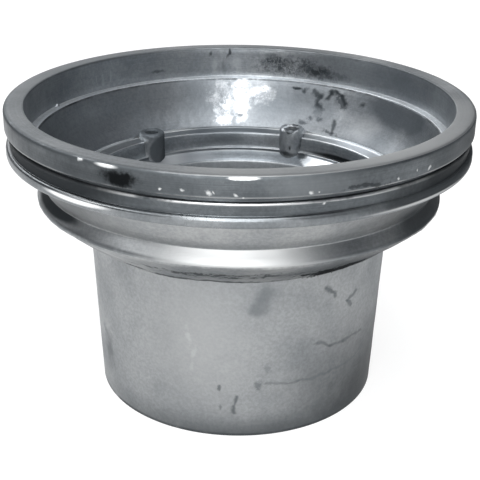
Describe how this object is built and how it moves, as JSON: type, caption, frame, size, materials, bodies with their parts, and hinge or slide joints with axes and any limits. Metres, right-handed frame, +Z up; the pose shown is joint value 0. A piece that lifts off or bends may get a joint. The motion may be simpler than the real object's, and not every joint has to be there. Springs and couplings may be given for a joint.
{
  "type": "balcony drain",
  "caption": "Round cast aluminium balcony drain body: flat rim with a grate seat, tapered bowl with screw bosses on its floor, and a tapered spigot that plugs into a rainwater pipe.",
  "frame": {"origin": "centre of the spigot's free end, on the surface that the drain stands on", "axes": "+Z up along the drain's axis, from the spigot to the rim; -Y faces the picture's camera"},
  "size_m": [0.16, 0.16, 0.1046],
  "materials": {
    "cast_aluminium": "as-cast aluminium, dull and stained, with turned rim top"
  },
  "bodies": {
    "root": {"drain_body": "cast_aluminium"}
  },
  "joints": []
}
